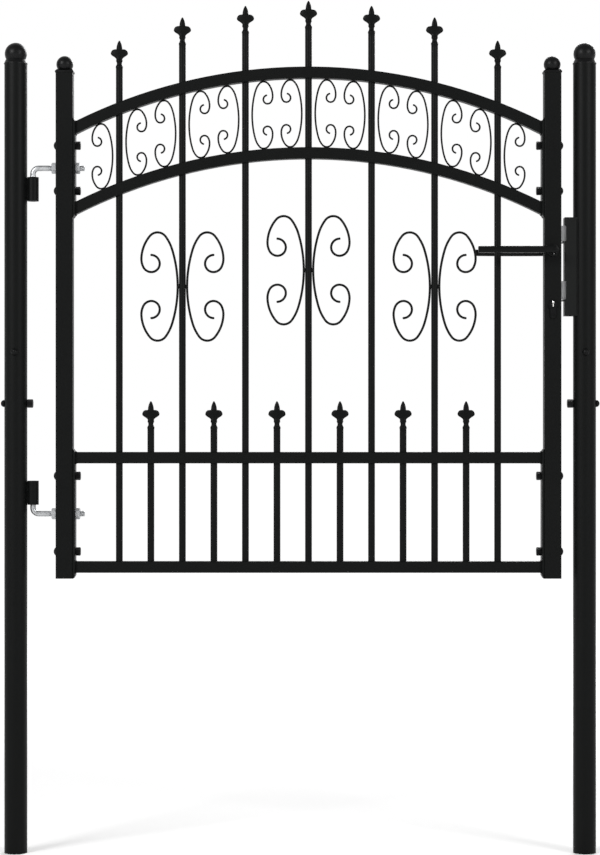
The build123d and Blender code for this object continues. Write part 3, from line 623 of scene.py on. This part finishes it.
# Spearheads: small iron castings pushed into the bar ends, a flat blade over two rounded barbs, a
# bead, a waisted neck and a collar. The skin is a little coarser than the tube's.
def cast_rings(rings, count=28):
    """A closed form grown upwards through rings of (height, half width, half thickness)."""
    form = bmesh.new()
    height, wide, thick = rings[0]
    bmesh.ops.create_circle(form, segments=count, radius=1.0, cap_ends=True)
    bmesh.ops.scale(form, vec=(wide, thick, 1), verts=form.verts[:])
    bmesh.ops.translate(form, vec=(0, 0, height), verts=form.verts[:])
    edges = form.edges[:]
    for fresh_height, fresh_wide, fresh_thick in rings[1:]:
        ring, edges = drawn_on(form, edges)
        bmesh.ops.scale(form, vec=(fresh_wide / wide, fresh_thick / thick, 1), verts=ring)
        bmesh.ops.translate(form, vec=(0, 0, fresh_height - height), verts=ring)
        height, wide, thick = fresh_height, fresh_wide, fresh_thick
    bmesh.ops.holes_fill(form, edges=edges)
    return form


spear_rings = [
    (-55.0, 4.4, 4.4), (-53.5, 4.4, 4.4), (-53.5, 6.0, 6.0), (-49.1, 6.0, 6.0), (-48.6, 6.15, 6.15),
    (-47.9, 6.36, 6.36), (-45.6, 6.38, 6.38), (-44.9, 6.1, 6.1), (-43.6, 5.3, 5.3), (-42.2, 4.7, 4.7),
    (-40.6, 4.4, 4.4), (-39.0, 4.5, 4.5), (-37.7, 5.0, 5.0), (-36.7, 5.6, 5.6), (-35.8, 5.8, 5.8),
    (-34.9, 5.8, 5.8), (-34.0, 5.6, 5.3), (-33.0, 5.4, 4.7), (-31.8, 5.8, 4.4), (-30.7, 6.6, 4.1),
    (-29.6, 7.9, 3.8), (-28.5, 9.5, 3.6), (-27.4, 11.3, 3.5), (-26.3, 12.9, 3.45), (-25.2, 14.1, 3.4),
    (-24.1, 14.85, 3.4), (-23.0, 15.15, 3.4), (-21.8, 15.15, 3.4), (-20.7, 14.8, 3.4),
    (-19.5, 14.4, 3.4), (-18.4, 13.8, 3.4), (-17.4, 13.0, 3.4), (-16.5, 12.0, 3.4), (-15.9, 10.9, 3.4),
    (-15.5, 9.4, 3.4), (-15.35, 7.6, 3.4), (-15.3, 6.0, 3.35), (-15.1, 5.4, 3.3), (-14.2, 5.2, 3.2),
    (-12.6, 5.0, 2.9), (-10.6, 4.8, 2.6), (-8.6, 4.4, 2.3), (-6.8, 3.9, 1.95), (-5.0, 3.3, 1.6),
    (-3.4, 2.65, 1.3), (-2.1, 2.05, 1.05), (-1.1, 1.5, 0.8), (-0.4, 1.0, 0.55), (0.0, 0.5, 0.3),
]
cast_iron = powder_coat(
    "cast_spear_coat", (0.0032, 0.0036, 0.0035, 1), (0.0054, 0.0059, 0.0057, 1), 0.40, 0.00022, 0.08
)
tip_rises = [108.6, 114.4, 114.3, 116.5, 114.3, 114.4, 108.6]
tall_tips = [
    (x, upper_arch_z + math.sqrt(arch_radius ** 2 - (x - leaf_middle) ** 2) + rise * mm)
    for x, rise in zip(bar_xs, tip_rises)
]
short_tip_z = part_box("mid_rail")[1].z + 89 * mm
short_tips = [(x + bar_pitch / 2, short_tip_z) for x in bar_xs[:-1]]
for name, tips in (("tall_spearheads", tall_tips), ("short_spearheads", short_tips)):
    spear = cast_rings([(height * mm, wide * mm, thick * mm) for height, wide, thick in spear_rings])
    heads = repeated(spear, [Matrix.Translation((x, 0, z)) for x, z in tips])
    make_piece(name + "_cast", heads, cast_iron, "black_powder_coat", "gate_leaf", name)


# Scrolls: round wire bent cold on a jig into Cs with a curl at each end. Three pairs stand back to
# back on the bars and small ones fill the arch; each is tacked where it touches.
def close_end(form, edges, centre, heading, radius):
    """Rounds off the end of a wire."""
    swell = 1.0
    for ahead, fresh_swell in ((0.35, 0.92), (0.35, 0.62)):
        ring, edges = drawn_on(form, edges)
        bmesh.ops.translate(form, vec=heading * radius * ahead, verts=ring)
        centre = centre + heading * radius * ahead
        factor = fresh_swell / swell
        bmesh.ops.scale(
            form, vec=(factor, factor, factor), space=Matrix.Translation(-centre), verts=ring
        )
        swell = fresh_swell
    bmesh.ops.holes_fill(form, edges=edges)


def bent_scroll(bends, radius, count):
    """A C of wire in the gate's plane, the middle of its back at the origin, its belly to the left."""
    form = bmesh.new()
    bmesh.ops.create_circle(form, segments=count, radius=radius)
    edges = form.edges[:]
    point = Vector((0, 0, 0))
    heading = Vector((0, 0, 1))
    for bend_radius, turn in bends:
        bend_radius = bend_radius * mm
        centre = point + Vector((-heading.z, 0, heading.x)) * bend_radius
        steps = math.ceil(max(turn / 9, bend_radius * math.radians(turn) / (4.5 * mm)))
        swung = bmesh.ops.spin(
            form, geom=edges, cent=centre, axis=(0, -1, 0), angle=math.radians(turn), steps=steps
        )
        edges = [part for part in swung["geom_last"] if isinstance(part, bmesh.types.BMEdge)]
        swing = Matrix.Rotation(math.radians(turn), 4, (0, -1, 0))
        point = centre + swing @ (point - centre)
        heading = swing @ heading
    close_end(form, edges, point, heading, radius)
    return repeated(form, (Matrix.Identity(4), Matrix.Diagonal((1, 1, -1, 1))))


def tack(width, height, depth):
    """A small rounded tack of weld."""
    form = bmesh.new()
    bmesh.ops.create_icosphere(form, subdivisions=2, radius=0.5)
    bmesh.ops.scale(form, vec=(width, depth, height), verts=form.verts[:])
    return form


flip_x = Matrix.Diagonal((-1, 1, 1, 1))
weld_gap = 0.2 * mm
main_wire = 2.1 * mm
main_bends = [
    (222.8, 16.9), (77.4, 19.1), (17.6, 55.0), (17.5, 49.5), (65.4, 36.8), (32.4, 28.8), (16.1, 54.3),
    (14.7, 98.7), (15.4, 89.1),
]
main_back = bar_radius + weld_gap + main_wire
mid_rail_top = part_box("mid_rail")[1].z
for bar, rise in ((2, 290.3 * mm), (4, 318.9 * mm), (6, 290.3 * mm)):
    x = bar_xs[bar - 1]
    z = mid_rail_top + rise
    pair = [
        Matrix.Translation((x - main_back, 0, z)),
        Matrix.Translation((x + main_back, 0, z)) @ flip_x,
    ]
    scroll_tack = moved(tack(3.4 * mm, 7.5 * mm, 4.4 * mm), Matrix.Translation((main_wire, 0, 0)))
    pair_form = repeated(joined(bent_scroll(main_bends, main_wire, 14), scroll_tack), pair)
    make_piece(
        "main_scrolls_wire_%d" % bar, pair_form, coat, "black_powder_coat", "gate_leaf",
        "main_scrolls_bar_%d" % bar,
    )

arch_wire = 1.6 * mm
arch_back = 11.8 * mm
arch_top_x = 19.9 * mm
arch_top_radius = 9.4
arch_back_turn = 11.2
arch_shoulder = [(105.3, 7.1), (31.3, 24.6), (arch_top_radius, 47.1)]
arch_curl = [(10.7, 50.6), (33.5, 42.6), (17.9, 27.8), (7.4, 112.0), (7.6, 112.0)]
arch_forms = []
for bar_x in bar_xs:
    for side in (-1, 1):
        off = bar_x + side * (arch_back + arch_top_x) - leaf_middle
        reach = weld_gap + arch_wire + arch_top_radius * mm
        high = upper_arch_z + math.sqrt((arch_radius - rail_height - reach) ** 2 - off ** 2)
        low = lower_arch_z + math.sqrt((arch_radius + reach) ** 2 - off ** 2)
        half_height = (high - low) / 2 + arch_top_radius * mm
        heading = math.radians(arch_back_turn)
        back_rise = half_height / mm
        for bend_radius, turn in arch_shoulder:
            back_rise -= bend_radius * (math.sin(heading + math.radians(turn)) - math.sin(heading))
            heading += math.radians(turn)
        back_bend = (back_rise / math.sin(math.radians(arch_back_turn)), arch_back_turn)
        scroll = bent_scroll([back_bend] + arch_shoulder + arch_curl, arch_wire, 12)
        slope = off / (arch_radius - rail_height)
        top_tack = moved(
            tack(6.0 * mm, 2.6 * mm, 3.4 * mm),
            Matrix.Translation((-arch_top_x - side * slope * 9 * mm, 0, half_height + arch_wire)),
        )
        foot_tack = moved(
            tack(6.0 * mm, 2.6 * mm, 3.4 * mm),
            Matrix.Translation((-arch_top_x + side * slope * 9 * mm, 0, -half_height - arch_wire)),
        )
        place = Matrix.Translation((bar_x + side * arch_back, 0, (high + low) / 2))
        if side > 0:
            place = place @ flip_x
        arch_forms.append(moved(joined(scroll, top_tack, foot_tack), place))
make_piece(
    "arch_scrolls_wire", joined(*arch_forms), coat, "black_powder_coat", "gate_leaf", "arch_scrolls"
)

# Plate bolts: eight coach bolts with flat domed heads outside the uprights, and black cap nuts
# inside the leaf that flare a little towards their outer ends.
stile_bolt_span = stile_width + plate_thickness
bolt_inset = 47 * mm
half_clear = (plate_faces[1] - plate_faces[0]) / 2
upper_plate_top = upper_arch_z + math.sqrt(arch_radius ** 2 - half_clear ** 2) + 5 * mm
upper_plate_bottom = lower_arch_z + math.sqrt((arch_radius - rail_height) ** 2 - half_clear ** 2) - 5 * mm
lower_plate_top = mid_rail_top + 5 * mm
lower_plate_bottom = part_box("hinge_side_plates")[0].z
bolt_places = []
for z in (
    upper_plate_top - bolt_inset, upper_plate_bottom + bolt_inset,
    lower_plate_top - bolt_inset, lower_plate_bottom + bolt_inset,
):
    bolt_places.append(Matrix.Translation((leaf_left, 0, z)) @ z_to_right)
    bolt_places.append(Matrix.Translation((leaf_right, 0, z)) @ z_to_left)
stile_bolt = domed_bolt(8 * mm, stile_bolt_span, 14.3 * mm, 4.6 * mm, 12.6 * mm, 8.9 * mm, 0.25 * mm)
make_piece(
    "stile_bolts_domed", repeated(stile_bolt, bolt_places), fastener, "black_fasteners", "gate_leaf",
    "stile_bolts",
)

# Hinge rods: zinc-plated 10 mm rods, bent square. The level arm is threaded through the upright and
# locked by a nut on each side; the other arm drops or rises into the welded sleeve.
zinc = Paint("zinc_plated_steel")
zinc_patches = zinc.noise(85.0, 4.0, 0.62)
zinc_grain = zinc.noise(1500.0, 2.0, 0.6)
zinc_marks = zinc.fade(zinc.noise(420.0, 4.0, 0.7), 0.58, 0.70)
zinc.set(
    Base_Color=zinc.blend(
        zinc_marks, zinc.blend(zinc_patches, (0.43, 0.44, 0.45, 1), (0.57, 0.58, 0.59, 1)),
        (0.32, 0.33, 0.34, 1),
    ),
    Roughness=0.27 + 0.18 * zinc_patches + 0.08 * zinc_grain + 0.10 * zinc_marks,
    Normal=zinc.bump(zinc_grain + 0.4 * zinc_marks, 0.00004, 0.6),
)
zinc.shader.inputs["Metallic"].default_value = 1.0


def threaded_length(radius, length, pitch, depth):
    """A thread along +Z: a ridge wound up round a core that closes both ends."""
    ridge = bmesh.new()
    root = radius - depth
    low = ridge.verts.new((root - 0.15 * mm, 0, 0))
    crest = ridge.verts.new((radius, 0, pitch * 0.44))
    crest_top = ridge.verts.new((radius, 0, pitch * 0.56))
    high = ridge.verts.new((root - 0.15 * mm, 0, pitch))
    for first, second in ((low, crest), (crest, crest_top), (crest_top, high), (high, low)):
        ridge.edges.new((first, second))
    turns = math.floor(length / pitch) - 1
    bmesh.ops.spin(
        ridge, geom=ridge.verts[:] + ridge.edges[:], cent=(0, 0, 0), axis=(0, 0, 1),
        dvec=(0, 0, pitch / 24), angle=math.radians(360 * turns), steps=24 * turns,
    )
    bmesh.ops.holes_fill(ridge, edges=[edge for edge in ridge.edges if edge.is_boundary])
    core = bmesh.new()
    draw_outline(
        core, (0, 0), (root, 0), (root, length - 0.6 * mm), (root - 0.7 * mm, length), (0, length)
    )
    turn_round(core, 32)
    return joined(core, ridge)


rod_radius = 5 * mm
rod_bend = 10 * mm
hinge_x = 30.3 * mm
rod_end_x = plate_faces[0] + 16 * mm
thread_length = 63 * mm
thread_pitch = 1.5 * mm
thread_depth = 0.35 * mm
pin_chamfer = 0.6 * mm
rod_levels = []
for name, down in (("hinge_rod_upper", -1), ("hinge_rod_lower", 1)):
    low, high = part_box(name)
    level_z = high.z - rod_radius if down < 0 else low.z + rod_radius
    rod_levels.append(level_z)
    pin_end_z = low.z if down < 0 else high.z
    rod = bmesh.new()
    bmesh.ops.create_circle(rod, segments=32, radius=rod_radius - pin_chamfer)
    rod.faces.new(rod.verts[:])
    edges = rod.edges[:]
    pin_length = abs(level_z - pin_end_z) - rod_bend
    arm_length = rod_end_x - thread_length - hinge_x - rod_bend
    swell = rod_radius - pin_chamfer
    for ahead, fresh_swell in ((pin_chamfer, rod_radius), (pin_length - pin_chamfer, rod_radius)):
        ring, edges = drawn_on(rod, edges)
        bmesh.ops.translate(rod, vec=(0, 0, ahead), verts=ring)
        bmesh.ops.scale(rod, vec=(fresh_swell / swell, fresh_swell / swell, 1), verts=ring)
        swell = fresh_swell
    swung = bmesh.ops.spin(
        rod, geom=edges, cent=(rod_bend, 0, pin_length), axis=(0, 1, 0), angle=math.radians(90),
        steps=14,
    )
    edges = [part for part in swung["geom_last"] if isinstance(part, bmesh.types.BMEdge)]
    ring, edges = drawn_on(rod, edges)
    bmesh.ops.translate(rod, vec=(arm_length, 0, 0), verts=ring)
    bmesh.ops.holes_fill(rod, edges=edges)
    thread = moved(
        threaded_length(rod_radius, thread_length, thread_pitch, thread_depth),
        Matrix.Translation((rod_bend + arm_length, 0, pin_length + rod_bend)) @ z_to_right,
    )
    rod = joined(rod, thread)
    place = Matrix.Translation((hinge_x, 0, pin_end_z))
    if down > 0:
        place = place @ Matrix.Diagonal((1, 1, -1, 1))
    make_piece(
        name + "_threaded", moved(rod, place), zinc.material, "zinc_plated_steel", "gate_leaf", name
    )

nut_height = 8 * mm
hinge_nuts = []
for level_z in rod_levels:
    hinge_nuts.append(Matrix.Translation((plate_faces[0], 0, level_z)) @ z_to_right)
    hinge_nuts.append(Matrix.Translation((leaf_left, 0, level_z)) @ z_to_left)
make_piece(
    "hinge_nuts_chamfered", repeated(hexagon_nut(17 * mm, nut_height), hinge_nuts), zinc.material,
    "zinc_plated_steel", "gate_leaf", "hinge_nuts",
)

# Lock: a sheet case let into the upright behind a drawn steel forend, with a sprung latch and a
# square dead bolt, both of brushed nickel-plated steel.
lock_steel = Paint("lock_steel")
brushed = lock_steel.noise(1000.0, 3.0, 0.6, lock_steel.stretched(0.06, 1, 1))
lock_dull = lock_steel.noise(60.0, 3.0, 0.6)
lock_steel.set(
    Base_Color=lock_steel.blend(lock_dull, (0.46, 0.465, 0.47, 1), (0.60, 0.605, 0.61, 1)),
    Roughness=0.26 + 0.16 * brushed + 0.10 * lock_dull,
    Normal=lock_steel.bump(brushed, 0.00003, 0.6),
)
lock_steel.shader.inputs["Metallic"].default_value = 1.0
finish_nodes(lock_steel.material, "lock_case", "latch_bolt", "dead_bolt", "handle_spindle")

# Forend screws: two countersunk steel screws with crossed slots that hold the forend in the upright,
# their heads flush with its face. The slots are not cut in: a thin black cross laid on each head is
# painted shade for the slot's dark recess.
forend_low, forend_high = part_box("lock_case")
screw_inset = 7 * mm
cross_length = 3.6 * mm
cross_width = 0.7 * mm
screw_forms = []
slot_shade_forms = []
for z in (forend_low.z + screw_inset, forend_high.z - screw_inset):
    screw = bmesh.new()
    draw_outline(
        screw, (0, -1.2 * mm), (1.8 * mm, -1.2 * mm), (3.3 * mm, 0), (3.1 * mm, 0.15 * mm),
        (0, 0.2 * mm),
    )
    turn_round(screw, 32)
    screw_forms.append(moved(screw, Matrix.Translation((leaf_right, 0, z)) @ z_to_right))
    # Each slot is a thin flat black cross standing just proud of the head: painted shade in place of a
    # recess.
    for wide, tall in ((cross_length, cross_width), (cross_width, cross_length)):
        slot = bmesh.new()
        bmesh.ops.create_cube(slot, size=1.0, matrix=Matrix.Diagonal((0.3 * mm, wide, tall, 1)))
        slot_shade_forms.append(moved(slot, Matrix.Translation((leaf_right + 0.1 * mm, 0, z))))
make_piece("forend_screws", joined(*screw_forms), lock_steel.material, "lock_steel", "gate_leaf")
make_piece("forend_screw_slot_shade", joined(*slot_shade_forms), fastener, "black_fasteners", "gate_leaf")

# Lock cylinder: a profile cylinder with a black oxide skin that stands a little out of both faces of
# the upright. Its round plug has a fine groove round it and a bright nickel key slot.
lock_x = leaf_right - stile_width / 2
cylinder_z = 961 * mm
cylinder_reach = 18 * mm
cylinder_radius = 8.5 * mm
lobe_width = 10 * mm
lobe_drop = 19.5 * mm
barrel = bmesh.new()
draw_outline(
    barrel, (0, -cylinder_reach), (cylinder_radius - 0.6 * mm, -cylinder_reach),
    (cylinder_radius, 0.6 * mm - cylinder_reach), (cylinder_radius, cylinder_reach - 0.6 * mm),
    (cylinder_radius - 0.6 * mm, cylinder_reach), (7.1 * mm, cylinder_reach),
    (6.9 * mm, cylinder_reach - 0.5 * mm), (6.6 * mm, cylinder_reach - 0.5 * mm),
    (6.4 * mm, cylinder_reach), (0, cylinder_reach),
)
turn_round(barrel, 56)
lobe = bmesh.new()
draw_outline(
    lobe, (0, 0.2 * mm - cylinder_reach), (lobe_width / 2 - 0.5 * mm, 0.2 * mm - cylinder_reach),
    (lobe_width / 2, 0.7 * mm - cylinder_reach), (lobe_width / 2, cylinder_reach - 0.7 * mm),
    (lobe_width / 2 - 0.5 * mm, cylinder_reach - 0.2 * mm), (0, cylinder_reach - 0.2 * mm),
)
turn_round(lobe, 40)
moved(lobe, Matrix.Translation((0, -lobe_drop, 0)))
web = bmesh.new()
bmesh.ops.create_cube(
    web, size=1.0, matrix=Matrix.Translation((0, -lobe_drop / 2, 0))
    @ Matrix.Diagonal((lobe_width, lobe_drop, 2 * cylinder_reach - 0.4 * mm, 1)),
)
z_to_front = Matrix.Rotation(math.radians(90), 4, "X")
cylinder_place = Matrix.Translation((lock_x, 0, cylinder_z)) @ z_to_front
make_piece(
    "lock_cylinder_barrel", moved(joined(barrel, lobe, web), cylinder_place), fastener,
    "black_fasteners", "gate_leaf", "lock_cylinder",
)
nickel = Paint("key_slot_nickel")
nickel_grain = nickel.noise(1800.0, 2.0, 0.6)
nickel_haze = nickel.noise(260.0, 2.0, 0.5)
nickel.set(
    Base_Color=nickel.blend(nickel_haze, (0.78, 0.77, 0.74, 1), (0.92, 0.91, 0.88, 1)),
    Roughness=0.34 + 0.10 * nickel_grain,
    Normal=nickel.bump(nickel_grain, 0.00003, 0.5),
)
nickel.shader.inputs["Metallic"].default_value = 1.0
key_eye_radius = 1.7 * mm
key_eye_rise = 4.3 * mm
key_slit_width = 1.8 * mm
key_slit_height = 8.6 * mm
key_slots = []
for side in (-1, 1):
    face_y = side * (cylinder_reach + 0.25 * mm)
    eye = bmesh.new()
    draw_outline(
        eye, (0, -0.5 * mm), (key_eye_radius, -0.5 * mm), (key_eye_radius, 0),
        (key_eye_radius - 0.6 * mm, 0.35 * mm), (0, 0.4 * mm),
    )
    turn_round(eye, 28)
    moved(eye, Matrix.Translation((0, key_eye_rise, 0)))
    slit = bmesh.new()
    bmesh.ops.create_cube(
        slit, size=1.0, matrix=Matrix.Translation((0, 0.4 * mm, -0.1 * mm))
        @ Matrix.Diagonal((key_slit_width, key_slit_height, 0.8 * mm, 1)),
    )
    bmesh.ops.bevel(
        slit, geom=[edge for edge in slit.edges if min(vert.co.z for vert in edge.verts) > 0],
        offset=0.25 * mm, segments=2, affect="EDGES", profile=0.5, material=-1,
    )
    lean = z_to_front if side < 0 else z_to_back @ Matrix.Rotation(math.radians(180), 4, "Z")
    key_slots.append(moved(joined(eye, slit), Matrix.Translation((lock_x, face_y, cylinder_z)) @ lean))
make_piece("lock_key_slots", joined(*key_slots), nickel.material, "lock_steel", "gate_leaf")

# Roses: flat turned rings, black like the levers, set on both faces of the upright. The lever necks
# turn in them.
spindle_z = 1055.5 * mm
handle_black = powder_coat(
    "black_handle", (0.0032, 0.0035, 0.0035, 1), (0.0052, 0.0056, 0.0056, 1), 0.30, 0.00004, 0.10
)
roses = []
for lean in (z_to_front, z_to_back):
    rose = bmesh.new()
    draw_outline(
        rose, (6.5 * mm, 0), (11 * mm, 0), (11 * mm, 1.7 * mm), (10.6 * mm, 2.5 * mm),
        (9.8 * mm, 2.95 * mm), (7.0 * mm, 3 * mm), (6.5 * mm, 2.6 * mm), (6.5 * mm, 0),
    )
    turn_round(rose, 56)
    lift = Matrix.Translation((0, 0, stile_width / 2))
    roses.append(moved(rose, Matrix.Translation((lock_x, 0, spindle_z)) @ lean @ lift))
make_piece(
    "handle_roses_turned", joined(*roses), handle_black, "black_handle", "gate_leaf", "handle_roses"
)

# Handles: two black-coated lever castings on one square spindle. Each has a round neck and a grip
# with rounded edges that swells a little towards its middle, worn smoother where a hand takes it.
lever_paint = Paint("lever_coat")
lever_clouds = lever_paint.noise(9.0, 3.0, 0.6)
lever_peel = lever_paint.noise(700.0, 2.0, 0.5)
grip_share = lever_paint.fade(lever_paint.along("X"), 0.90, 0.84)
lever_paint.set(
    Base_Color=lever_paint.blend(
        lever_clouds, (0.0032, 0.0035, 0.0035, 1), (0.0052, 0.0056, 0.0056, 1)
    ),
    Roughness=0.34 - 0.07 * grip_share + 0.06 * lever_clouds,
    Normal=lever_paint.bump(lever_peel * (1 - 0.5 * grip_share), 0.00005, 0.6),
)
lever_paint.shader.inputs["Specular IOR Level"].default_value = 0.11
lever_y = 43 * mm
grip_length = 132.8 * mm
grip_height = 11.8 * mm
grip_depth = 9 * mm
edge_round = 2.7 * mm


def lever_form():
    """The rear lever, in its place."""
    grip = bmesh.new()
    bmesh.ops.create_cube(
        grip, size=1.0, matrix=Matrix.Translation((lock_x - grip_length / 2, lever_y, spindle_z))
        @ Matrix.Diagonal((grip_length, grip_depth, grip_height, 1)),
    )
    long_edges = [edge for edge in grip.edges if edge.calc_length() > 0.5 * grip_length]
    bmesh.ops.bevel(
        grip, geom=long_edges, offset=edge_round, segments=5, affect="EDGES", profile=0.5, material=-1
    )
    far_end = lock_x - grip_length
    end_edges = [
        edge for edge in grip.edges if max(vert.co.x for vert in edge.verts) < far_end + 0.1 * mm
    ]
    bmesh.ops.bevel(
        grip, geom=end_edges, offset=1.4 * mm, segments=3, affect="EDGES", profile=0.5, material=-1
    )
    long_edges = [edge for edge in grip.edges if edge.calc_length() > 0.5 * grip_length]
    bmesh.ops.subdivide_edges(grip, edges=long_edges, cuts=14)
    for vert in grip.verts:
        share = (vert.co.x - far_end) / grip_length
        swell = 0.97 + 0.06 * math.sin(math.pi * min(1.0, max(0.0, share)))
        vert.co.z = spindle_z + (vert.co.z - spindle_z) * swell
    neck = bmesh.new()
    neck_radius = grip_height / 2
    neck_end = lever_y + grip_depth / 2
    draw_outline(
        neck, (0, stile_width / 2 + 0.5 * mm), (neck_radius - 0.2 * mm, stile_width / 2 + 0.5 * mm),
        (neck_radius - 0.1 * mm, stile_width / 2 + 6 * mm), (neck_radius, lever_y - grip_depth),
        (neck_radius, neck_end - edge_round), (90, neck_radius - edge_round, neck_end - edge_round),
        (0, neck_end),
    )
    turn_round(neck, 44)
    moved(neck, Matrix.Translation((lock_x, 0, spindle_z)) @ z_to_back)
    return joined(grip, neck)


make_piece(
    "lever_rear_cast", lever_form(), lever_paint.material, "black_handle", "lever_handle", "lever_rear"
)
make_piece(
    "lever_front_cast", moved(lever_form(), Matrix.Diagonal((1, -1, 1, 1))), lever_paint.material,
    "black_handle", "lever_handle", "lever_front",
)
